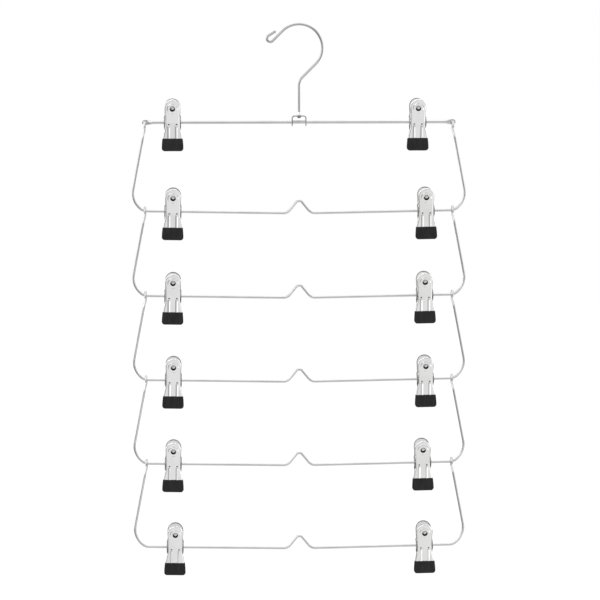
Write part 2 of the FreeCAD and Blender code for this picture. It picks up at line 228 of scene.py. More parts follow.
def run_length(route: Array) -> Array:
    """The distance along a route at each of its points."""
    return np.concatenate(([0.0], np.cumsum(np.linalg.norm(np.diff(route, axis=0), axis=1))))


def resampled(route: Array, places: Array) -> Array:
    """The points of a route at other distances along it."""
    return np.stack([np.interp(places, run_length(route), axis) for axis in route.T], axis=1)


def with_end_points(route: Array, reach: float, count: int) -> Array:
    """A route with more points near both ends, where they lie as the cosine of even angles.

    Args:
        route: the points.
        reach: distance from an end within which the points are new.
        count: new points at each end.

    Returns:
        The points of the new route.
    """
    length = run_length(route)
    near = reach * (1.0 - np.cos(np.linspace(0.0, QUARTER, count)))
    kept = length[(length > reach) & (length < length[-1] - reach)]
    return resampled(route, np.unique(np.concatenate((near, kept, length[-1] - near))))


def domed_ends(length: Array, reach: float) -> Array:
    """A factor along a run that rounds both its ends off as quarter circles of this reach."""
    near = np.minimum(length, length[-1] - length) / reach
    return np.maximum(1.0 - quarter_drop(1.0 - near), END_LEAST)


def on_circle(angle: Array) -> Array:
    """Points on a unit circle at these angles, in two dimensions."""
    return np.stack((np.cos(angle), np.sin(angle)), axis=1)


def circle(sides: int) -> Array:
    """Even points on a unit circle, in two dimensions."""
    return on_circle(np.arange(sides) * 2.0 * math.pi / sides)


def soft_oblong(count: int, power: float) -> Array:
    """A superellipse in the unit square: cosine and sine raised to 2 / power, with their signs kept."""
    ring = circle(count)
    return np.sign(ring) * np.abs(ring) ** (2.0 / power)


def sweep(route: Array, side: Array, section: Array, scale: Array) -> Surface:
    """A closed section carried along a route, with a pole at each end.

    A point is route + n * a * scale_a + m * b * scale_b, where n is the side vector less its part along
    the route, m is the route's direction crossed with n, and (a, b) is the section's point.

    Args:
        route: points along the middle.
        side: one vector, or one per point, that the section's first axis leans to.
        section: the section's points, anticlockwise in its own plane.
        scale: half sizes along both section axes, one row per point of the route.

    Returns:
        The closed surface.
    """
    way = unit(np.gradient(route, axis=0))
    lean = np.broadcast_to(side, route.shape)
    n = unit(lean - (lean * way).sum(axis=1, keepdims=True) * way)
    m = np.cross(way, n)
    spread = section[None, :, :] * scale[:, None, :]
    rings = route[:, None, :] + n[:, None, :] * spread[:, :, :1] + m[:, None, :] * spread[:, :, 1:]
    points, faces = closed_rings(rings, route[[0, -1]])
    along = run_length(route)
    lay = np.column_stack((spread.reshape(-1, 2), np.repeat(along, len(section))))
    return Surface(points, faces, np.vstack((lay, np.zeros(3), Z_WAY * along[-1])))


def ring_patch(centre: Array, radii: Array, border: Array, rows: int) -> Array:
    """A flat patch from a round hole out to a border, in two dimensions.

    Each border point has a ray from the hole's centre. The first rows lie on circles, and the others go
    evenly from the last circle to the border.

    Args:
        centre: the hole's centre.
        radii: the circles' radii, from the hole's outwards.
        border: the closed border's points.
        rows: rows from the last circle to the border.

    Returns:
        Points by row, by border point and by coordinate.
    """
    inner = centre + unit(border - centre)[None] * radii[:, None, None]
    share = np.linspace(0.0, 1.0, rows + 1)[1:, None, None]
    return np.concatenate((inner, inner[-1:] + (border[None] - inner[-1:]) * share))


def welded(surface: Surface) -> Surface:
    """A surface whose vertices that lie together are one.

    Args:
        surface: the surface.

    Returns:
        The welded surface.
    """
    keys = np.round(surface.points / WELD).astype(np.int64)
    _, first, number = np.unique(keys, axis=0, return_index=True, return_inverse=True)
    faces = [number.reshape(-1)[f] for f in surface.faces]
    return Surface(surface.points[first], faces, surface.lay[first])


# Finishes


class Link:
    """One output of a node, on which plain arithmetic adds Math nodes."""

    def __init__(self, recipe: "Recipe", socket: Optional[bpy.types.NodeSocket]) -> None:
        """Keep the recipe and the socket."""
        self.recipe, self.socket = recipe, socket

    def beside(self, output: str) -> "Link":
        """Another output of the same node."""
        return Link(self.recipe, self.socket.node.outputs[output])

    def __add__(self, other: "Value") -> "Link":
        """Sum."""
        return self.recipe.maths("ADD", self, other)

    def __radd__(self, other: "Value") -> "Link":
        """Sum, the other way round."""
        return self.recipe.maths("ADD", other, self)

    def __mul__(self, other: "Value") -> "Link":
        """Product."""
        return self.recipe.maths("MULTIPLY", self, other)

    def __rmul__(self, other: "Value") -> "Link":
        """Product, the other way round."""
        return self.recipe.maths("MULTIPLY", other, self)


Value = Union[Link, float]


class Recipe:
    """A node tree that a finish is written into."""

    def __init__(self, tree: bpy.types.NodeTree) -> None:
        """Empty the tree."""
        self.tree = tree
        tree.nodes.clear()

    def node(self, kind: str, settings: dict[str, Any], sockets: dict[Any, Any], output: Any = 0) -> Link:
        """Add a node.

        Args:
            kind: the node's type.
            settings: its properties.
            sockets: values or links by socket name or number.
            output: which output to hand back.

        Returns:
            The chosen output, or an empty link where the node has none.
        """
        made = self.tree.nodes.new(kind)
        for key, value in settings.items():
            setattr(made, key, value)
        for key, value in sockets.items():
            if isinstance(value, Link):
                self.tree.links.new(value.socket, made.inputs[key])
            else:
                made.inputs[key].default_value = value
        return Link(self, made.outputs[output] if len(made.outputs) else None)

    def maths(self, operation: str, *values: Value) -> Link:
        """A Math node on one or two values."""
        return self.node("ShaderNodeMath", {"operation": operation}, dict(enumerate(values)))

    def vector_maths(self, operation: str, first: Link, second: Place, output: str = "Vector") -> Link:
        """A Vector Math node on a vector and a constant."""
        return self.node("ShaderNodeVectorMath", {"operation": operation}, {0: first, 1: second}, output)

    def places(self, output: str = "Object") -> Link:
        """Texture coordinates."""
        return self.node("ShaderNodeTexCoord", {}, {}, output)

    def attribute(self, name: str, output: str) -> Link:
        """An attribute of the piece."""
        return self.node("ShaderNodeAttribute", {"attribute_name": name}, {}, output)

    def noise(self, vector: Link, grain: Grain) -> Link:
        """Noise from 0 to 1."""
        sockets = dict(zip(("Scale", "Detail", "Roughness"), grain))
        return self.node("ShaderNodeTexNoise", {}, {"Vector": vector, **sockets})

    def streaks(self, vector: Link, stretch: float, grain: Grain) -> Link:
        """Noise drawn out along Z, where the stretch is a streak's width over its length."""
        return self.noise(self.vector_maths("MULTIPLY", vector, (1.0, 1.0, stretch)), grain)

    def ranged(self, value: Value, span: Span) -> Link:
        """A value carried from one range to another and held inside it."""
        sockets = dict(zip(("From Min", "From Max", "To Min", "To Max"), span))
        return self.node("ShaderNodeMapRange", {}, {"Value": value, **sockets})

    def mixed(self, factor: Value, first: Union[Link, Colour], second: Union[Link, Colour]) -> Link:
        """Two colours mixed."""
        return self.node("ShaderNodeMix", {"data_type": "RGBA"}, {"Factor": factor, 6: first, 7: second}, 2)

    def bump(self, height: Link, strength: float, distance: float) -> Link:
        """A normal from a height."""
        return self.node("ShaderNodeBump", {}, {"Height": height, "Strength": strength, "Distance": distance})

    def rays(self) -> tuple[Link, Link]:
        """Whether a ray comes from the camera or through glass, and whether it comes from a mirror."""
        camera = self.node("ShaderNodeLightPath", {}, {}, "Is Camera Ray")
        return camera + camera.beside("Is Transmission Ray"), camera.beside("Is Glossy Ray")

    def blended(self, factor: Link, first: Link, second: Link) -> Link:
        """Two shaders mixed."""
        return self.node("ShaderNodeMixShader", {}, {0: factor, 1: first, 2: second})

    def principled(self, sockets: dict[str, Any]) -> None:
        """The principled shader, handed to the material's output."""
        self.output(self.node("ShaderNodeBsdfPrincipled", {}, sockets))

    def output(self, shader: Link) -> None:
        """Hand a shader to the material's output."""
        self.node("ShaderNodeOutputMaterial", {}, {"Surface": shader})


def new_recipe(name: str) -> tuple[bpy.types.Material, Recipe]:
    """A new material and its empty recipe.

    Args:
        name: the material's name.

    Returns:
        The material and its recipe.
    """
    material = bpy.data.materials.new(name)
    material.use_nodes = True
    return material, Recipe(material.node_tree)


@dataclass(frozen=True)
class ChromeFinish:
    """Bright chrome plate, with the faint lines of the stock under it and a thin uneven haze.

    In every finish grains are per metre, those of lines along the stock per millimetre, and depths in
    metres; a span says where in its grain a layer sets in. The pit is the floor of a punched dimple,
    painted dark as the shade that falls in it.
    """

    name: str
    lay: Lay
    tint: Colour = (0.77, 0.77, 0.765, 1.0)
    haze_tint: Colour = (0.68, 0.68, 0.675, 1.0)
    gloss: float = 0.07
    lines: Grain = (3.0, 3.0, 0.6)
    line_stretch: float = 0.03
    line_depth: float = 4e-6
    # painted shade on the floor of a punched dimple
    pit_shade_tint: Colour = (0.045, 0.045, 0.047, 1.0)
    cloud: Grain = (42.0, 4.0, 0.55)
    speck: Grain = (900.0, 2.0, 0.5)
    haze_span: Span = (0.42, 0.75, 0.0, 1.0)
    fleck_span: Span = (0.64, 0.78, 0.0, 0.5)
    haze_share: float = 0.8
    fleck_share: float = 0.3
    haze_rough: float = 0.09
    line_rough: float = 0.03
    pit_rough: float = 0.35
    cloud_lift: float = 0.6
    bump: float = 0.35

    def material(self) -> bpy.types.Material:
        """Mix the finish.

        Returns:
            The new material.
        """
        material, recipe = new_recipe(self.name)
        place, lay = recipe.places(), recipe.attribute(self.lay.value, "Vector")
        lines = recipe.streaks(lay, self.line_stretch, self.lines)
        cloud = recipe.noise(place, self.cloud)
        haze = recipe.ranged(cloud, self.haze_span)
        fleck = recipe.ranged(recipe.noise(place, self.speck), self.fleck_span)
        dull = haze * self.haze_share + fleck * self.fleck_share
        pit_shade = recipe.attribute(PAINTED_SHADE, "Fac")
        clean = recipe.mixed(dull, self.tint, self.haze_tint)
        rough = self.gloss + dull * self.haze_rough + lines * self.line_rough + pit_shade * self.pit_rough
        relief = recipe.bump(lines + cloud * self.cloud_lift, self.bump, self.line_depth)
        # painted shade: the dimple floors are coloured dark where shade falls in them
        colour = recipe.mixed(pit_shade, clean, self.pit_shade_tint)
        recipe.principled({"Base Color": colour, "Metallic": 1.0, "Roughness": rough, "Normal": relief})
        return material


@dataclass(frozen=True)
class SpringSteelFinish:
    """Bright rolled strip: fine lines along its length, and painted shade in the seat round each dome."""

    name: str = "rolled_spring_steel"
    tint: Colour = (0.62, 0.62, 0.62, 1.0)
    line_tint: Colour = (0.50, 0.50, 0.50, 1.0)
    seat_shade_tint: Colour = (0.022, 0.022, 0.023, 1.0)
    gloss: float = 0.20
    lines: Grain = (6.0, 3.0, 0.65)
    line_stretch: float = 0.04
    line_span: Span = (0.45, 0.7, 0.0, 1.0)
    line_rough: float = 0.12
    seat_shade_rough: float = 0.3
    bump: float = 0.4
    line_depth: float = 6e-6

    def material(self) -> bpy.types.Material:
        """Mix the finish.

        Returns:
            The new material.
        """
        material, recipe = new_recipe(self.name)
        lay = recipe.attribute(Lay.ROLLED.value, "Vector")
        lines = recipe.streaks(lay, self.line_stretch, self.lines)
        mask = recipe.ranged(lines, self.line_span)
        seat_shade_mask = recipe.attribute(PAINTED_SHADE, "Fac")
        # painted shade: the seat round each dome is coloured dark where shade falls in the gap under the grip
        # hole
        colour = recipe.mixed(seat_shade_mask, recipe.mixed(mask, self.tint, self.line_tint), self.seat_shade_tint)
        rough = self.gloss + mask * self.line_rough + seat_shade_mask * self.seat_shade_rough
        relief = recipe.bump(lines, self.bump, self.line_depth)
        recipe.principled({"Base Color": colour, "Metallic": 1.0, "Roughness": rough, "Normal": relief})
        return material


@dataclass(frozen=True)
class VinylFinish:
    """Dipped black vinyl: satin, with faint runs down it, a fine dull skin and a few rubbed places."""

    name: str = "dipped_black_vinyl"
    tint: Colour = (0.0075, 0.0075, 0.0078, 1.0)
    rubbed: Colour = (0.019, 0.019, 0.0195, 1.0)
    gloss: float = 0.36
    specular: float = 0.3
    drip: Grain = (420.0, 3.0, 0.55)
    drip_stretch: float = 0.12
    mottle: Grain = (160.0, 4.0, 0.55)
    skin: Grain = (1500.0, 2.0, 0.5)
    drip_share: float = 0.7
    worn_span: Span = (0.45, 0.68, 0.0, 1.0)
    worn_rough: float = 0.18
    skin_rough: float = 0.04
    skin_lift: float = 0.15
    bump: float = 0.35
    drip_depth: float = 8e-5

    def material(self) -> bpy.types.Material:
        """Mix the finish.

        Returns:
            The new material.
        """
        material, recipe = new_recipe(self.name)
        place = recipe.places()
        drips = recipe.streaks(place, self.drip_stretch, self.drip)
        mottle, skin = recipe.noise(place, self.mottle), recipe.noise(place, self.skin)
        worn = recipe.ranged(drips * self.drip_share + mottle * (1.0 - self.drip_share), self.worn_span)
        rough = self.gloss + worn * self.worn_rough + skin * self.skin_rough
        relief = recipe.bump(skin * self.skin_lift + drips, self.bump, self.drip_depth)
        colour = recipe.mixed(worn, self.tint, self.rubbed)
        sockets = {"Base Color": colour, "Roughness": rough, "Normal": relief}
        recipe.principled({**sockets, "Specular IOR Level": self.specular})
        return material


@dataclass
class Finishes:
    """The hanger's finished materials, by record slot; a darker chrome painted as shade on edges, and a
    darker copy of the wire chrome painted as shade on the hook.
    """

    by_slot: dict[Slot, bpy.types.Material] = field(default_factory=dict)
    edge_shade: Optional[bpy.types.Material] = None
    hook_wire: Optional[bpy.types.Material] = None

    def mix(self) -> None:
        """Make each material once."""
        drawn = (0.585, 0.59, 0.597, 1.0), (0.49, 0.494, 0.50, 1.0), 0.11
        # the hook's chrome is a darker copy of the wire's: painted shade, so that its mirrored highlights
        # come down
        hook = (0.455, 0.459, 0.465, 1.0), (0.36, 0.363, 0.368, 1.0), 0.13
        # darker chrome for edges, painted as shade: plate rims, bracket edges, and the rivet foot under the
        # bracket
        edge_shade_tints = (0.24, 0.242, 0.246, 1.0), (0.17, 0.171, 0.174, 1.0), 0.34
        rolled = {"lines": (2.2, 3.0, 0.6), "line_stretch": 0.05, "line_depth": 3e-6}
        self.by_slot[Slot.WIRE] = ChromeFinish("chrome_on_drawn_wire", Lay.DRAWN, *drawn).material()
        self.hook_wire = ChromeFinish("chrome_on_hook_wire", Lay.DRAWN, *hook).material()
        self.edge_shade = ChromeFinish("chrome_edge_painted_shade", Lay.ROLLED, *edge_shade_tints).material()
        self.by_slot[Slot.PLATE] = ChromeFinish("chrome_on_pressed_sheet", Lay.ROLLED, **rolled).material()
        self.by_slot[Slot.SPRING] = SpringSteelFinish().material()
        self.by_slot[Slot.VINYL] = VinylFinish().material()


# Pieces


def linked(name: str, data: bpy.types.ID) -> bpy.types.Object:
    """A new object in the scene.

    Args:
        name: its name.
        data: its mesh, light or camera.

    Returns:
        The object.
    """
    made = bpy.data.objects.new(name, data)
    bpy.context.scene.collection.objects.link(made)
    return made


def dress(name: str, surface: Surface, slot: Slot, finishes: Finishes, node: str) -> bpy.types.Object:
    """Put a surface into the scene as a smooth piece in its finish, standing for a solid.

    Args:
        name: the piece's name.
        surface: its shape.
        slot: the record slot of its finish.
        finishes: the mixed materials.
        node: the CAD node that it stands for.

    Returns:
        The piece, at the origin and not yet riding on a body.
    """
    mesh = bpy.data.meshes.new(name)
    faces = [row for block in surface.faces for row in block.tolist()]
    mesh.from_pydata((surface.points * MM).tolist(), [], faces)
    mesh.polygons.foreach_set("use_smooth", np.ones(len(mesh.polygons), dtype=bool))
    lay = Lay.DRAWN if slot is Slot.WIRE else Lay.ROLLED
    attribute = mesh.attributes.new(lay.value, "FLOAT_VECTOR", "POINT")
    attribute.data.foreach_set("vector", surface.lay.astype(np.float32).ravel())
    mesh.materials.append(finishes.by_slot[slot])
    mesh.validate()
    mesh.update()
    piece = linked(name, mesh)
    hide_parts(node)
    LOG.info("%s: %d faces", name, len(mesh.polygons))
    return piece


def mark(piece: bpy.types.Object, depth: Array) -> None:
    """Write a mask of painted shade, from 0 to 1, on a piece's points: the depth of a punched dimple, or the
    shade in a spring's seat.
    """
    attribute = piece.data.attributes.new(PAINTED_SHADE, "FLOAT", "POINT")
    attribute.data.foreach_set("value", depth.astype(np.float32))


def paint_edge_shade(piece: bpy.types.Object, finish: bpy.types.Material, least: float, below: float) -> None:
    """Give the faces of a piece that face along Y and lie low a darker finish, painted as shade.

    Args:
        piece: the piece.
        finish: the darker finish of the shaded faces.
        least: smallest cosine between a shaded face and the Y axis, either way.
        below: height, in metres, above which no face is shaded.
    """
    faces = piece.data.polygons
    normals, centres = np.empty(len(faces) * 3), np.empty(len(faces) * 3)
    faces.foreach_get("normal", normals)
    faces.foreach_get("center", centres)
    chosen = (np.abs(normals[1::3]) >= least) & (centres[2::3] < below)
    piece.data.materials.append(finish)
    faces.foreach_set("material_index", chosen.astype(np.int32))


def give_thickness(
    piece: bpy.types.Object, thick: float, ease: float, cut: Optional[bpy.types.Material] = None
) -> None:
    """Thicken a middle surface to both sides and ease its cut edges.

    Args:
        piece: the piece.
        thick: the sheet in millimetres.
        ease: width of the eased edge in millimetres.
        cut: the finish of the cut edges, darker as painted shade, where it is another.
    """
    wall = piece.modifiers.new("sheet", "SOLIDIFY")
    wall.thickness, wall.offset = thick * MM, 0.0
    if cut is not None:
        piece.data.materials.append(cut)
        wall.material_offset_rim = 1
    edge = piece.modifiers.new("eased_edges", "BEVEL")
    edge.width, edge.segments = ease * MM, 2
    edge.limit_method, edge.angle_limit = "ANGLE", math.radians(50.0)
    edge.harden_normals = True


# The hanger's sub-assemblies, in millimetres and degrees


@dataclass
class SwivelHook:
    """The hook that goes over the rail: shank, slanted run, big arc, returned tip, and its collar."""

    wire: float = 2.5
    radius: float = 23.0
    bend: float = 10.0
    slant: float = 45.0
    tip_run: float = 13.7
    tip_loop: float = 3.3
    tip_turn: float = 195.0
    tip_tail: float = 8.5
    reach: float = 88.5
    sheet: float = 1.2
    clear: float = 0.15
    collar_radius: float = 2.8
    collar_height: float = 3.2
    collar_lip: float = 0.35
    collar_skirt: float = 0.75
    collar_step: float = 0.25
    collar_ease: float = 0.15
    lip_ease: float = 0.12
    lip_flare: float = 0.05
    lip_tall: float = 0.35
    rivet_radius: float = 2.3
    rivet_foot: float = 1.6
    rivet_height: float = 1.6
    rivet_step: float = 1.02  # where the upset end has come down to the wire, over its height

    def route(self) -> Array:
        """The wire's middle line in the XZ plane: runs and arcs from the upset foot to the tip's end.

        Returns:
            Its points.
        """
        lean = math.radians(self.slant)
        out = Z_WAY * math.sin(lean) - X_WAY * math.cos(lean)
        down = -X_WAY * math.sin(lean) - Z_WAY * math.cos(lean)
        centre = Z_WAY * (self.wire / 2.0 - self.radius)
        foot = -Z_WAY * (self.reach + self.sheet + self.clear + self.rivet_height)
        corner = centre - Z_WAY * self.radius / math.sin(lean)
        lower = rounded_route(np.array((foot, corner, centre - out * self.radius)), [self.bend], 1.0)
        turn = np.linspace(-lean, math.pi - lean, 90)[:, None]
        arc = centre + self.radius * (np.cos(turn) * X_WAY + np.sin(turn) * Z_WAY)
        tip = arc[-1] + down * self.tip_run
        back = np.radians(np.linspace(0.0, self.tip_turn, 40))[:, None]
        loop = tip + self.tip_loop * (out - out * np.cos(back) + down * np.sin(back))
        tail = loop[-1] + unit(loop[-1] - loop[-2]) * self.tip_tail
        runs = (arc, straight(arc[-1], tip, 1.5), loop, straight(loop[-1], tail, 1.0))
        return np.vstack((lower, *(run[1:] for run in runs)))

    def wire_shape(self) -> Surface:
        """The wire with its upset foot: the radius along the route steps from the rivet's to the wire's.

        Returns:
            The closed surface.
        """
        half, dome = self.wire / 2.0, self.wire * END_SHARE
        route = with_end_points(self.route(), dome, END_POINTS)
        head = self.rivet_height * self.rivet_step
        places = np.unique(np.concatenate((np.linspace(0.0, head, 14), run_length(route))))
        foot, rivet = self.rivet_foot, self.rivet_radius
        heights = np.array((0.0, 0.25, 0.55, 0.8, 1.0, self.rivet_step)) * self.rivet_height
        sizes = (0.05, foot * 0.75, foot * 1.15, rivet, rivet * 0.97, half)
        radius = np.interp(places, heights, sizes) * np.where(places > head, domed_ends(places, dome), 1.0)
        return sweep(resampled(route, places), Y_WAY, circle(24), radius[:, None] * np.ones(2))

    def collar_shape(self) -> Surface:
        """The flared ferrule: a closed outline of radius r and height h turned about the shank.

        A point is (r cos a, r sin a, h), with a running all the way round.

        Returns:
            The closed surface.
        """
        low, inner, outer = self.clear - self.reach, self.wire / 2.0, self.collar_radius
        high, lip = low + self.collar_height, inner + self.collar_lip
        outline = np.array((
            (inner, low),
            (outer - self.collar_ease, low),
            (outer, low + self.collar_ease),
            (outer, low + self.collar_skirt),
            (outer - self.lip_ease, low + self.collar_skirt + self.collar_step),
            (lip + self.lip_flare, high - self.lip_tall),
            (lip, high - self.lip_ease),
            (inner + self.lip_ease, high),
            (inner, high),
        ))
        x, y = np.moveaxis(outline[:, None, :1] * circle(48)[None], 2, 0)
        z = np.broadcast_to(outline[:, 1:], x.shape)
        return from_grids(x, y, z, grid_faces(*x.shape, True, True)[:, ::-1])

    def build(self, finishes: Finishes) -> None:
        """Make the wire and its collar.

        Args:
            finishes: the mixed materials.
        """
        wire = dress("hook_wire", self.wire_shape(), Slot.WIRE, finishes, "hook")
        # the hook wears the darker copy of the wire chrome, as painted shade
        wire.data.materials[0] = finishes.hook_wire
        # painted shade: the upset foot under the bracket gets the darker edge chrome
        paint_edge_shade(wire, finishes.edge_shade, 0.0, -(self.reach + self.sheet) * MM)
        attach(wire, "hook")
        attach(dress("hook_ferrule", self.collar_shape(), Slot.PLATE, finishes, "hook_collar"), "hook")


@dataclass
class TopBar:
    """The bent bracket under the hook, and the rod with a pierced eye at each end."""

    bar_z: float = -95.2
    hook_reach: float = 88.5
    bracket_width: float = 14.8
    bracket_sheet: float = 1.2
    bracket_depth: float = 6.0
    bracket_corner: float = 3.0
    bracket_ease: float = 0.3
    below_bar: float = 3.8
    wire: float = 3.2
    hang_half: float = 152.5
    eye_thick: float = 1.6
    eye_hole: float = 1.6
    eye_rim: float = 1.0
    eye_taper: float = 6.0
    eye_lap: float = 0.35  # length of rod inside the eye
    eye_inside: float = 0.1  # how much lower than the eye the rod ends
    edge_shade_least: float = 0.9  # cosine to Y from which the bracket's faces are its sheared edges, darker as painted shade

    def bracket_shape(self) -> Surface:
        """A flat strip's section carried along an upside-down U.

        Returns:
            The closed surface.
        """
        half, ease = (self.bracket_width - self.bracket_sheet) / 2.0, self.bracket_ease
        top, foot = -self.hook_reach - self.bracket_sheet / 2.0, self.bar_z - self.below_bar
        corners = np.array(((-half, 0.0, foot), (-half, 0.0, top), (half, 0.0, top), (half, 0.0, foot)))
        bends = [self.bracket_corner - self.bracket_sheet / 2.0] * 2
        route = with_end_points(rounded_route(corners, bends, 0.5), ease, 5)
        ends = domed_ends(run_length(route), ease)[:, None]
        halves = np.array((self.bracket_depth, self.bracket_sheet)) / 2.0
        return sweep(route, Y_WAY, soft_oblong(48, 7.0), halves - ease * (1.0 - ends))

    def rod_shape(self) -> Surface:
        """A rod along X: a circle that turns into the eye's flat oval over the taper at both ends.

        Returns:
            The closed surface.
        """
        outer, half = self.eye_hole + self.eye_rim, self.wire / 2.0
        root = self.hang_half - outer
        taper = root + self.eye_lap - (self.eye_taper + self.eye_lap) * np.linspace(0.0, 1.0, 22)
        x = np.concatenate((-taper, np.linspace(-taper[-1], taper[-1], 60)[1:-1], taper[::-1]))
        route = np.stack((x, np.zeros_like(x), np.full_like(x, self.bar_z)), axis=1)
        flat = 1.0 - smooth(root - np.abs(x), 0.0, self.eye_taper)
        deep = half + (self.eye_thick / 2.0 - half) * flat
        tall = half + (outer - self.eye_inside - half) * flat
        return sweep(route, Y_WAY, circle(32), np.stack((deep, tall), axis=1))

    def eye_shape(self, side: Side) -> Surface:
        """A flat eye: from the hole to a half-round border, closed over both faces by a soft oblong.

        Args:
            side: the end of the bar.

        Returns:
            The closed surface.
        """
        outer = self.eye_hole + self.eye_rim
        turn = np.linspace(-QUARTER, QUARTER, 40)
        nose = on_circle(turn) * outer
        back = np.stack((np.linspace(0.0, -outer, 8)[1:], np.full(7, outer)), axis=1)
        root = np.stack((np.full(14, -outer), np.linspace(outer, -outer, 16)[1:-1]), axis=1)
        border = np.vstack((nose, back, root, back[::-1] * np.array((1.0, -1.0))))
        loop = soft_oblong(28, 4.5)
        hole = unit(border) * self.eye_hole
        flat = hole[None] + (border - hole)[None] * (1.0 + loop[:, :1, None]) / 2.0
        deep = np.broadcast_to(loop[:, 1:] * self.eye_thick / 2.0, flat.shape[:2])
        quads = grid_faces(len(loop), len(border), True, True)[:, :: -side.value]
        x, z = side.value * (self.hang_half + flat[:, :, 0]), self.bar_z + flat[:, :, 1]
        return from_grids(x, deep, z, quads)

    def build(self, finishes: Finishes) -> None:
        """Make the bracket, and the rod with its eyes.

        Args:
            finishes: the mixed materials.
        """
        strip = self.bracket_shape()
        bracket = dress("swivel_bracket_strip", strip, Slot.PLATE, finishes, "swivel_bracket")
        # painted shade: the bracket's edge faces get the darker edge chrome
        paint_edge_shade(bracket, finishes.edge_shade, self.edge_shade_least, 0.0)
        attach(bracket, "top_bar")
        shape = self.rod_shape().joined(self.eye_shape(Side.LEFT)).joined(self.eye_shape(Side.RIGHT))
        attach(dress("top_bar_rod", shape, Slot.WIRE, finishes, "top_bar"), "top_bar")


@dataclass
class TierWire:
    """One hanging tier: a hook, an arm, a corner, half the bar and the notch, and the same mirrored."""

    number: int
    pivot_z: float
    wire: float = 2.5
    pitch: float = 84.4
    hang_half: float = 152.5
    hang_turn: float = 3.25
    hang_tip: float = 2.5
    stem: float = 4.0
    stem_bend: float = 4.0
    jog_bend: float = 8.0
    jog: float = 11.0
    jog_out: float = 1.8
    arm_lean: float = 10.84
    corner_cut: float = 2.35
    side_bend: float = 21.0
    corner_bend: float = 10.5
    slope: float = 1.0
    notch_half: float = 11.8
    notch_height: float = 14.4
    notch_foot_bend: float = 8.0
    notch_peak_bend: float = 3.8

    def corners(self) -> tuple[Array, list[float]]:
        """The right half's corner points and bends, from the free end of its hook to the notch's peak.

        The arm's lower corner lies where its lean meets a line at 45 degrees from the bar's corner.

        Returns:
            The points, and one bend for each but the first.
        """
        turn, bar, half = self.hang_turn, -self.pitch, self.hang_half
        cut_x, jog_x = half + self.corner_cut, half + self.jog_out
        lean = math.tan(math.radians(self.arm_lean))
        side_z = (jog_x - lean * self.jog - cut_x + bar) / (1.0 + lean)
        foot_z = bar - (cut_x - self.notch_half) * math.tan(math.radians(self.slope))
        points = np.array((
            (half, -turn, -self.hang_tip),
            (half, -turn, turn),
            (half, turn, turn),
            (half, turn, -self.stem),
            (jog_x, 0.0, -self.jog),
            (cut_x + side_z - bar, 0.0, side_z),
            (cut_x, 0.0, bar),
            (self.notch_half, 0.0, foot_z),
            (0.0, 0.0, foot_z + self.notch_height),
        ))
        bends = [turn, turn, self.stem_bend, self.jog_bend, self.side_bend, self.corner_bend]
        return points, bends + [self.notch_foot_bend, self.notch_peak_bend]

    def shape(self) -> Surface:
        """A round wire along the corner points; its section leans to X in the hooks and to Y below them.

        Returns:
            The closed surface.
        """
        right, bends = self.corners()
        route = rounded_route(np.vstack((right, right[-2::-1] * MIRROR_X)), bends + bends[-2::-1], 2.0)
        dome = self.wire * END_SHARE
        route = with_end_points(route, dome, END_POINTS)
        below = smooth(-route[:, 2], self.stem, self.jog)[:, None]
        radius = self.wire / 2.0 * domed_ends(run_length(route), dome)
        lean = X_WAY * (1.0 - below) + Y_WAY * below
        surface = sweep(route, lean, circle(20), radius[:, None] * np.ones(2))
        return surface.moved(np.eye(3), Z_WAY * self.pivot_z)

    def build(self, finishes: Finishes) -> None:
        """Make the wire."""
        name = f"tier_{self.number}"
        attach(dress(f"{name}_bent_wire", self.shape(), Slot.WIRE, finishes, f"{name}_wire"), name)


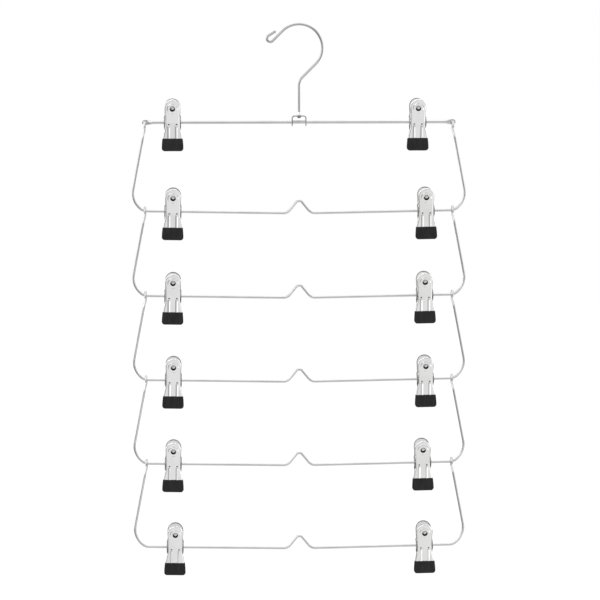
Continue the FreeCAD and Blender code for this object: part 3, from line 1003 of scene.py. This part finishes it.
@dataclass
class Clip:
    """One sprung clip: two pressed plates with ears on the bar, two dipped boots and a leaf spring."""

    tier: int
    side: Side
    place: Array
    tilt: float
    bar_radius: float
    sheet: float = 0.8
    handle_top: float = 22.8
    handle_lean: float = 18.0
    handle_radius: float = 7.5
    waist_half: float = 6.9
    waist_up: float = 8.0
    neck_half: float = 7.6
    neck_down: float = 8.5
    jaw_half: float = 9.2
    jaw_tip: float = 27.5
    jaw_break: float = 16.0
    plate_off: float = 4.5
    plate_bend: float = 3.0
    plate_ease: float = 0.16
    ear_radius: float = 4.2
    ear_root: float = 5.0
    ear_gap: float = 0.3
    ear_half: float = 8.45
    ear_bore_clear: float = 0.2
    ear_collar: float = 0.9  # width of the ear's round rows about its hole
    edge_bend: float = 1.0
    edge_turn: float = 58.0
    edge_fade: float = 3.5  # height over which the edges' turn falls off beside the ears
    rim_deep: float = 1.1
    rim_blend: float = 3.5
    patch_foot: float = 6.8
    grip_hole: float = 2.75
    grip_hole_down: float = 9.0
    grip_ring: float = 5.6
    grip_ring_high: float = 0.5
    grip_shoulder: float = 1.1
    grip_collar: float = 0.3  # width of the handle's round rows past the ring
    rib_apart: float = 7.6
    rib_wide: float = 1.45
    rib_high: float = 0.5
    rib_start: float = 4.0
    rib_fade: float = 1.2
    dimple_radius: float = 0.9
    dimple_slope: tuple[float, float] = (0.8, 1.25)  # floor and lip over the radius
    dimple_deep: float = 0.5
    dimple_down: float = 2.0
    boot_tall: float = 12.5
    boot_top_half: float = 10.05
    boot_foot_half: float = 10.8
    boot_corner: float = 3.2
    boot_wall: float = 0.9
    boot_gap: float = 0.3
    boot_lip: float = 0.7
    boot_lip_in: float = 0.55
    boot_lip_thin: float = 0.4
    boot_bulge: float = 0.18
    boot_swell: float = 0.22
    boot_face: float = 0.3  # share of the depth from which on a boot's outer face swells
    boot_least: float = 0.02  # square of the share of its depth that the foot comes down to
    trace_high: float = 0.26  # of a rib that shows through the boot
    trace_span: tuple[float, float] = (0.3, 2.0)
    trace_ends: tuple[float, float] = (4.0, 1.5)
    spring_strip: float = 0.5
    spring_width: float = 7.0
    spring_clear: float = 0.4
    spring_seat: float = 0.3
    spring_end: float = 2.6
    spring_end_least: float = 0.35
    spring_ease: float = 0.12
    spring_round: float = 0.999  # share of the bend round the bar, so that its two arcs don't overlap
    dome_radius: float = 2.3
    dome_high: float = 1.0
    pad_past: float = 3.6
    pad_bend: float = 2.4
    seat_shade_under: float = 0.55  # how far the painted shade reaches in under the dome's lower side
    seat_shade_edge: tuple[float, float] = (-0.4, 0.1)
    seat_shade_rim: tuple[float, float] = (0.4, 1.2)
    seat_shade_low: tuple[float, float] = (-0.4, 0.6)
    seat_shade_least: float = 0.1

    @property
    def name(self) -> str:
        """The clip's name, as the solids have it."""
        return f"clip_{self.tier}_{self.side.name.lower()}"

    def middle_y(self, z: Array) -> Array:
        """The Y of a plate's middle surface on the +Y side: straight runs joined by arcs.

        Args:
            z: the heights.

        Returns:
            One Y for each height.
        """
        lean = math.tan(math.radians(self.handle_lean))
        jaw_y = self.boot_gap / 2.0 + self.boot_wall
        corners = np.array((
            (0.0, self.plate_off + lean * self.handle_top, self.handle_top),
            (0.0, self.plate_off, 0.0),
            (0.0, jaw_y, -self.jaw_break),
            (0.0, jaw_y, -self.jaw_tip),
        ))
        line = rounded_route(corners, [self.plate_bend * 2.0] * 2, 0.5)[::-1]
        return np.interp(z, line[:, 2], line[:, 1]) + self.sheet / 2.0

    def off_rib(self, x: Array) -> Array:
        """How far from the middle of the nearer rib a place lies."""
        return np.abs(np.abs(x) - self.rib_apart / 2.0)

    def pitted(self, x: Array, z: Array) -> Array:
        """How deep in a punched dimple a place lies, from 0 at its lip to 1 at its floor."""
        floor, lip = self.dimple_radius * np.array(self.dimple_slope)
        return 1.0 - smooth(np.hypot(self.off_rib(x), z + self.dimple_down), floor, lip)

    def pressed(self, x: Array, z: Array) -> Array:
        """How far the pressing stands out of the plate: the grip ring, two ribs and two dimples.

        The ring is a plateau about the hole with a cubic shoulder, a rib is a cubic hump across X that
        fades in below the bar, and a dimple is a cubic pit.

        Args:
            x: the places across the plate.
            z: their heights.

        Returns:
            One height of the pressing for each.
        """
        up = (z - self.handle_top + self.grip_hole_down) / math.cos(math.radians(self.handle_lean))
        ring = 1.0 - smooth(np.hypot(x, up), self.grip_ring - self.grip_shoulder, self.grip_ring)
        below = smooth(-z, self.rib_start - self.rib_fade, self.rib_start + self.rib_fade / 2.0)
        rib = (1.0 - smooth(self.off_rib(x), 0.0, self.rib_wide)) * below
        return self.grip_ring_high * ring + self.rib_high * rib - self.dimple_deep * self.pitted(x, z)

    def half_width(self, z: Array, shoulder: float) -> Array:
        """The plate's half width at each height below the handle, straight from point to point.

        Args:
            z: the heights.
            shoulder: half the width over the middles of the ears.

        Returns:
            One half width for each height.
        """
        root = self.ear_root
        heights = (-self.jaw_tip, -self.jaw_break, -self.neck_down, -root, root, self.waist_up)
        widths = (self.jaw_half, self.jaw_half, self.neck_half, shoulder, shoulder, self.waist_half)
        return np.interp(z, heights, widths)

    def plate_shape(self, shoulder: float) -> Surface:
        """A plate's middle surface on the +Y side: body, handle patch about the hole, and two ears.

        Across the body, a row runs flat and then turns back through an arc at each edge. The arc is a
        quarter circle where the ears leave and flattens out above and below them.

        Args:
            shoulder: half the width over the middles of the ears.

        Returns:
            The surface, welded.
        """
        root = self.ear_root
        z = np.concatenate((
            np.linspace(self.patch_foot, root, 7)[:-1],
            np.linspace(root, -root, 25)[:-1],
            np.linspace(-root, -self.jaw_tip, 40),
        ))[:, None]
        by_ears = 1.0 - smooth(np.abs(z), root, root + self.edge_fade)
        curl = np.radians(self.edge_turn + (90.0 - self.edge_turn) * by_ears)
        half_flat = self.half_width(z, shoulder) - self.edge_bend * np.sin(curl)
        flat = half_flat * np.linspace(-1.0, 1.0, 57)
        turn = curl * np.linspace(0.0, 1.0, 7)[1:]
        bend_x = half_flat + self.edge_bend * np.sin(turn)
        bend_y = -self.edge_bend * (1.0 - np.cos(turn))
        x = np.concatenate((-bend_x[:, ::-1], flat, bend_x), axis=1)
        back = np.concatenate((bend_y[:, ::-1], np.zeros_like(flat), bend_y), axis=1)
        height = np.broadcast_to(z, x.shape)
        y = self.middle_y(height) + self.pressed(x, height) + back
        body = from_grids(x, y, height, grid_faces(*x.shape)).joined(self.handle_shape(x[0], back[0]))
        roots = np.stack((x, y, height), axis=2)[np.abs(z[:, 0]) <= root + NEAR]
        left, right = self.ear_shape(roots[:, 0]), self.ear_shape(roots[:, -1])
        right.faces = [f[:, ::-1] for f in right.faces]
        return welded(body.joined(left).joined(right))

    def handle_shape(self, row_x: Array, row_back: Array) -> Surface:
        """The handle: a patch from the grip hole to the round outline and down to the body's top row.

        Within the rim's depth of the outline the sheet turns back through a quarter circle, which
        grows in from the body's own curl.

        Args:
            row_x: the X of the body's top row.
            row_back: how far back that row is turned.

        Returns:
            The surface.
        """
        foot_z, arc_z = self.patch_foot, self.handle_top - self.handle_radius
        rise = np.linspace(foot_z, arc_z, 15)
        edge = row_x[-1] + (self.handle_radius - row_x[-1]) * smooth(rise, foot_z, arc_z)
        turn = np.linspace(0.0, math.pi, 61)[1:-1]
        arc = on_circle(turn) * self.handle_radius + np.array((0.0, arc_z))
        foot = np.stack((row_x, np.full_like(row_x, foot_z)), axis=1)
        right = np.stack((edge, rise), axis=1)[1:]
        border = np.vstack((foot, right, arc, right[::-1] * MIRROR_X[:2]))
        centre = np.array((0.0, self.handle_top - self.grip_hole_down))
        radii = np.linspace(self.grip_hole, self.grip_ring + self.grip_collar, 14)
        x, z = np.moveaxis(ring_patch(centre, radii, border, 16), 2, 0)
        to_edge = np.hypot(x - border[:, 0], z - border[:, 1])
        full = smooth(border[:, 1], foot_z, foot_z + self.rim_blend)
        rim = row_back[0] - (self.rim_deep + row_back[0]) * full
        rim[: len(row_x)] = row_back
        y = self.middle_y(z) + self.pressed(x, z) + rim * quarter_drop(1.0 - to_edge / self.rim_deep)
        return from_grids(x, y, z, grid_faces(*x.shape, wrap_columns=True))

    def ear_shape(self, root: Array) -> Surface:
        """A flat ear: a patch from the bar's hole to its root at the plate and its round end, at one X.

        The ear's straight sides run from the root to where they touch the round end, which is as far
        round from the root's direction as the arc cosine of its radius over the root's distance.

        Args:
            root: the points of the plate's edge that the ear grows from.

        Returns:
            The surface.
        """
        line = root[:, 1:]
        touch = math.acos(min(1.0, self.ear_radius / math.hypot(*line[0])))
        start = math.atan2(*line[0]) - touch
        turn = np.linspace(QUARTER - start, math.pi * 1.5 + start, 40)
        nose = self.ear_radius * on_circle(turn)
        near = np.linspace(0.0, 1.0, 6)[1:-1, None]
        upper = line[0] + (nose[0] - line[0]) * near
        lower = nose[-1] + (line[-1] - nose[-1]) * near
        border = np.vstack((line[::-1], upper, nose, lower))
        hole = self.bar_radius + self.ear_bore_clear
        radii = np.linspace(hole, hole + self.ear_collar, 4)
        y, z = np.moveaxis(ring_patch(np.zeros(2), radii, border, 6), 2, 0)
        x = np.broadcast_to(root[0, 0], y.shape)
        return from_grids(x, y, z, grid_faces(*y.shape, wrap_columns=True)[:, ::-1])

    def boot_shape(self) -> Surface:
        """A dipped boot on the +Y side: soft oblong sections stacked in Z.

        The half width runs straight from the top to the foot and rounds in at both ends as a quarter
        circle, and the outer face bulges slightly and carries the ribs under it, fading downwards.

        Returns:
            The closed surface.
        """
        corner, lip, foot = self.boot_corner, self.boot_lip, -self.jaw_tip - self.boot_wall
        top = foot + self.boot_tall
        rows = (
            foot + corner * quarter_drop(np.cos(np.linspace(QUARTER, 0.0, 14))),
            np.linspace(foot + corner, top - lip, 16)[1:-1],
            top - lip * np.cos(np.linspace(QUARTER, 0.0, 7)) ** 2,
        )
        z = np.unique(np.round(np.concatenate(rows), 5))[:, None]
        up = (z - foot) / self.boot_tall
        arch, high = np.sin(math.pi * up), quarter_drop((z - top + lip) / lip)
        wide = self.boot_foot_half + (self.boot_top_half - self.boot_foot_half) * up + self.boot_bulge * arch
        wide = wide - corner * quarter_drop((foot + corner - z) / corner) - self.boot_lip_in * high
        deep = self.boot_wall + self.sheet / 2.0
        slim = np.maximum(1.0 - quarter_drop((foot + deep - z) / deep), math.sqrt(self.boot_least))
        ring = soft_oblong(112, 6.0)
        x = ring[:, 0] * wide
        y = ring[:, 1] * (deep * slim - self.boot_lip_thin * high) + self.boot_gap / 2.0 + deep
        fade = smooth(z, foot + self.trace_ends[0], top - self.trace_ends[1])
        trace = self.trace_high * (1.0 - smooth(self.off_rib(x), *self.trace_span)) * fade
        y = y + smooth(ring[:, 1], self.boot_face, 1.0) * (trace + self.boot_swell * (arch - 1.0))
        rings = np.stack((x, y, np.broadcast_to(z, x.shape)), axis=2)
        points, faces = closed_rings(rings, rings[[0, -1]].mean(axis=1))
        return Surface(points, faces, points.copy())

    def spring_shape(self) -> Surface:
        """The leaf spring's middle surface: a strip along runs and arcs in YZ, domed near both ends.

        The strip rounds off at its ends as an ellipse, and each dome is a spherical cap over the seat.

        Returns:
            The surface, with the places across and along the strip as its lay.
        """
        lean, half = math.radians(self.handle_lean), self.spring_strip / 2.0
        rise = Y_WAY * math.sin(lean) + Z_WAY * math.cos(lean)
        out = Y_WAY * math.cos(lean) - Z_WAY * math.sin(lean)
        z = self.handle_top - self.grip_hole_down
        spot = Y_WAY * (self.plate_off + self.sheet + z * math.tan(lean)) + Z_WAY * z
        seat = spot - out * (self.sheet + self.spring_seat + half)
        bend, past = self.bar_radius + self.spring_clear + half, rise * self.pad_past
        right = np.array((seat + past, seat - past, Y_WAY * bend, (Y_WAY - Z_WAY) * bend))
        bends = [self.pad_bend, self.plate_bend, bend * self.spring_round]
        route = rounded_route(np.vstack((right, right[::-1] * MIRROR_Y)), bends + bends[::-1], 0.4)
        route = with_end_points(route, self.spring_end, 9)
        length = run_length(route)
        ends = self.spring_end_least + (1.0 - self.spring_end_least) * domed_ends(length, self.spring_end)
        x = self.spring_width / 2.0 * ends[:, None] * np.linspace(-1.0, 1.0, 23)
        points = route[:, None] + x[:, :, None] * X_WAY
        ball = (self.dome_radius**2 + self.dome_high**2) / (2.0 * self.dome_high)
        for flip in (np.ones(3), MIRROR_Y):
            from_seat = np.hypot(x, ((route - seat * flip) @ (rise * flip))[:, None])
            cap = np.sqrt(np.clip(ball**2 - from_seat**2, 0.0, None)) - (ball - self.dome_high)
            domed = (route[:, 1:2] * flip[1] > 0.0) & (from_seat < self.dome_radius)
            points = points + np.where(domed, cap, 0.0)[:, :, None] * (out * flip)
        lay = np.stack((x, np.zeros_like(x), np.broadcast_to(length[:, None], x.shape)), axis=2)
        return Surface(points.reshape(-1, 3), [grid_faces(*x.shape)], lay.reshape(-1, 3))

    def painted_seat_shade(self, lay: Array) -> Array:
        """How dark the painted shade in the seat round each dome is, from the place across and along the
        strip.

        It lies in a band from the dome's edge to the rim of the grip hole, mostly below the dome, where the
        seat is in shadow.

        Args:
            lay: the strip's lay.

        Returns:
            From 0 to 1 for each point.
        """
        along = np.minimum(lay[:, 2], lay[:, 2].max() - lay[:, 2]) - self.pad_past
        off, dome = np.hypot(lay[:, 0], along), self.dome_radius
        edge = dome * (1.0 - self.seat_shade_under * smooth(along, -dome, dome))
        inner = smooth(off, edge + self.seat_shade_edge[0], edge + self.seat_shade_edge[1])
        outer = smooth(off, *(self.grip_hole + np.array(self.seat_shade_rim)))
        low = smooth(along, *(dome * np.array(self.seat_shade_low)))
        return inner * (1.0 - outer) * (self.seat_shade_least + (1.0 - self.seat_shade_least) * low)

    def add(
        self, piece: str, surface: Surface, slot: Slot, finishes: Finishes, node: str
    ) -> bpy.types.Object:
        """Carry a shape from about the bar to its place on the hanger, tilted with the bar, and dress it.

        Args:
            piece: the piece's name within the clip.
            surface: its shape about the bar.
            slot: the record slot of its finish.
            finishes: the mixed materials.
            node: the name within the clip of the CAD node that it stands for.

        Returns:
            The piece, not yet riding on a body.
        """
        turn = np.array(Matrix.Rotation(math.radians(self.tilt), 3, "Y"))
        placed = surface.moved(turn, self.place)
        return dress(f"{self.name}_{piece}", placed, slot, finishes, f"{self.name}_{node}")

    def build(self, finishes: Finishes) -> None:
        """Make the five pieces.

        Args:
            finishes: the mixed materials.
        """
        shoulder = self.ear_half - self.sheet / 2.0
        front, rear = f"{self.name}_front", f"{self.name}_rear"
        front_plate = self.plate_shape(shoulder - self.sheet - self.ear_gap).turned_over()
        rear_plate, boot, strip = self.plate_shape(shoulder), self.boot_shape(), self.spring_shape()
        plates = (
            ("front_pressing", front_plate, "front_plate", front),
            ("rear_pressing", rear_plate, "rear_jaw", rear),
        )
        for name, shape, node, body in plates:
            plate = self.add(name, shape, Slot.PLATE, finishes, node)
            mark(plate, self.pitted(shape.lay[:, 0], shape.lay[:, 2]))
            # the plate rims get the darker edge chrome, painted as shade between the plates
            give_thickness(plate, self.sheet, self.plate_ease, finishes.edge_shade)
            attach(plate, body)
        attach(self.add("front_tip", boot.turned_over(), Slot.VINYL, finishes, "front_boot"), front)
        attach(self.add("rear_tip", boot, Slot.VINYL, finishes, "rear_jaw"), rear)
        leaf = self.add("leaf", strip, Slot.SPRING, finishes, "spring")
        # the leaf's seat shade is painted, darker below each dome
        mark(leaf, self.painted_seat_shade(strip.lay))
        give_thickness(leaf, self.spring_strip, self.spring_ease)
        reach = Y_WAY * self.plate_off
        tuple((self.place + reach) * MM)
        tuple((self.place - reach) * MM)
        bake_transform(leaf)


@dataclass
class Hanger:
    """The whole hanger: where its tiers hang and where its clips stand.

    Attributes:
        first_pivot: height that the second tier folds about.
        pivot_pitch: height from each tier's pivot to the next.
        tiers: number of tiers, with the top bar.
        shares: the left and the right clip's place on each tier, over half the hang width.
    """

    first_pivot: float = -98.45
    pivot_pitch: float = 84.2
    tiers: int = 6
    shares: tuple[tuple[float, float], ...] = (
        (0.8197, 0.7705),
        (0.8197, 0.8262),
        (0.8230, 0.8197),
        (0.8230, 0.8262),
        (0.8262, 0.8098),
        (0.8164, 0.8230),
    )

    def tier_wire(self, tier: int) -> TierWire:
        """The wire of a tier, the second tier being the first wire."""
        return TierWire(tier, self.first_pivot - (tier - 2) * self.pivot_pitch)

    def clip(self, tier: int, side: Side) -> Clip:
        """A clip in its place: level on the top bar, and tilted with the bar's slope below it.

        Args:
            tier: number of the tier, from the top.
            side: the half of the hanger.

        Returns:
            The clip.
        """
        station = TierWire.hang_half * self.shares[tier - 1][0 if side is Side.LEFT else 1]
        if tier == 1:
            bar = TopBar()
            return Clip(tier, side, np.array((side.value * station, 0.0, bar.bar_z)), 0.0, bar.wire / 2.0)
        wire = self.tier_wire(tier)
        inward = wire.hang_half + wire.corner_cut - station
        height = wire.pivot_z - wire.pitch - inward * math.tan(math.radians(wire.slope))
        place = np.array((side.value * station, 0.0, height))
        return Clip(tier, side, place, -side.value * wire.slope, wire.wire / 2.0)

    def build(self, finishes: Finishes) -> None:
        """Make every sub-assembly.

        Args:
            finishes: the mixed materials.
        """
        SwivelHook().build(finishes)
        TopBar().build(finishes)
        for tier in range(2, self.tiers + 1):
            self.tier_wire(tier).build(finishes)
        for tier in range(1, self.tiers + 1):
            for side in Side:
                self.clip(tier, side).build(finishes)


# The studio, in metres


@dataclass(frozen=True)
class Lamp:
    """A soft oblong lamp."""

    name: str
    place: Place
    size: tuple[float, float]
    power: float

    def build(self, aim: Place) -> None:
        """Hang the lamp so that it faces a point.

        Args:
            aim: the point.
        """
        light = bpy.data.lights.new(self.name, "AREA")
        light.shape = "RECTANGLE"
        light.size, light.size_y = self.size
        light.energy = self.power
        lamp = linked(self.name, light)
        lamp.location = self.place
        lamp.rotation_euler = (Vector(aim) - Vector(self.place)).to_track_quat("-Z", "Y").to_euler()


@dataclass
class Studio:
    """White surroundings, soft lamps, a pale floor far below, and the camera."""

    distance: float = 3.0
    height: float = 0.314
    azimuth: float = -2.2
    roll: float = -0.05
    aim: Place = (0.0008, 0.0, -0.272)
    lens: float = 181.0
    sensor: float = 36.0
    clip_end: float = 60.0
    # how the room's level goes toward front and back, from the left, and upwards
    front: Span = (0.8, 1.0, 1.0, 0.72)
    flank: Span = (-0.7, -0.15, 0.85, 1.0)
    band: Span = (-0.3, 0.4, 0.85, 1.0)
    fill: Colour = (0.96, 0.98, 1.0, 1.0)
    fill_level: float = 0.55
    floor_z: float = -1.25
    floor_half: float = 9.0
    floor_grain: Grain = (30.0, 3.0, 0.5)
    floor_tints: tuple[Colour, Colour] = ((0.86, 0.86, 0.86, 1.0), (0.89, 0.89, 0.89, 1.0))
    floor_way: Place = (0.95, 0.3, 0.0)  # the way along which the mirrored floor darkens
    floor_span: Span = (0.7, 1.5, 1.0, 0.45)
    floor_glow: float = 1.1
    floor_share: float = 0.9  # share of the glow, beside the floor's own shading
    lamps: tuple[Lamp, ...] = (
        Lamp("key_softbox", (-1.3, -1.5, 0.9), (2.0, 2.0), 12.0),
        Lamp("side_softbox", (1.9, 0.4, 0.1), (1.2, 2.0), 9.0),
        Lamp("top_softbox", (0.1, 0.2, 1.5), (2.0, 1.4), 9.0),
        Lamp("low_softbox", (1.25, -0.75, -1.0), (1.2, 0.7), 2.3),
        Lamp("left_softbox", (-1.9, 0.4, 0.1), (1.2, 2.0), 13.0),
    )

    def world(self) -> None:
        """White to the camera; to mirrors a bright room that is greyer in front; a plain level elsewhere."""
        world = bpy.data.worlds.new("white_room")
        bpy.context.scene.world = world
        world.use_nodes = True
        recipe = Recipe(world.node_tree)
        seen, glossy = recipe.rays()
        side = recipe.node("ShaderNodeSeparateXYZ", {}, {"Vector": recipe.places("Generated")}, "X")
        front = recipe.ranged(recipe.maths("ABSOLUTE", side.beside("Y")), self.front)
        band = recipe.ranged(side.beside("Z"), self.band)
        level = recipe.mixed(front * recipe.ranged(side, self.flank) * band, BLACK, WHITE)
        mirror, white, fill = (
            recipe.node("ShaderNodeBackground", {}, {"Color": colour, "Strength": strength})
            for colour, strength in ((level, 1.0), (WHITE, 1.0), (self.fill, self.fill_level))
        )
        shader = recipe.blended(seen, recipe.blended(glossy, fill, mirror), white)
        recipe.node("ShaderNodeOutputWorld", {}, {"Surface": shader})

    def floor(self) -> None:
        """A pale floor: white to the camera and to mirrors, less its own shading, so that shadows stay."""
        x, y = np.meshgrid(*[(-self.floor_half, self.floor_half)] * 2)
        points = np.stack((x, y, np.full_like(x, self.floor_z)), axis=2).reshape(-1, 3)
        mesh = bpy.data.meshes.new("floor")
        mesh.from_pydata(points.tolist(), [], grid_faces(2, 2).tolist())
        material, recipe = new_recipe("pale_floor")
        seen, glossy = recipe.rays()
        where = recipe.places()
        tint = recipe.mixed(recipe.noise(where, self.floor_grain), *self.floor_tints)
        matt = recipe.node("ShaderNodeBsdfDiffuse", {}, {"Color": tint})
        aside = recipe.maths("ABSOLUTE", recipe.vector_maths("DOT_PRODUCT", where, self.floor_way, "Value"))
        shade = recipe.mixed(recipe.ranged(aside, self.floor_span), BLACK, WHITE)
        mirrored = recipe.node("ShaderNodeEmission", {}, {"Color": shade, "Strength": 1.0})
        glow = recipe.node("ShaderNodeEmission", {}, {"Color": WHITE, "Strength": self.floor_glow})
        below = recipe.blended(glossy * self.floor_share, matt, mirrored)
        recipe.output(recipe.blended(seen * self.floor_share, below, glow))
        mesh.materials.append(material)
        plane = linked("floor", mesh)

    def camera(self) -> None:
        """A long lens a little above and left of the middle, rolled slightly."""
        turn = math.radians(self.azimuth)
        away = self.distance * math.cos(math.asin(self.height / self.distance))
        aim = Vector(self.aim)
        place = aim + Vector((away * math.sin(turn), -away * math.cos(turn), self.height))
        data = bpy.data.cameras.new("camera")
        data.lens, data.sensor_width, data.clip_end = self.lens, self.sensor, self.clip_end
        camera = linked("camera", data)
        roll = Matrix.Rotation(math.radians(self.roll), 3, "Z")
        view = (aim - place).to_track_quat("-Z", "Y").to_matrix() @ roll
        camera.matrix_world = Matrix.Translation(place) @ view.to_4x4()
        bpy.context.scene.camera = camera

    def build(self) -> None:
        """Set up the surroundings."""
        self.world()
        self.floor()
        for lamp in self.lamps:
            lamp.build(self.aim)
        self.camera()
        bpy.context.scene.view_settings.view_transform = "Standard"


def main() -> None:
    """Mix the finishes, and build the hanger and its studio."""
    logging.basicConfig(level=logging.INFO, format="%(name)s: %(message)s")
    finishes = Finishes()
    finishes.mix()
    Hanger().build(finishes)
    Studio().build()


if __name__ == "__main__":
    main()
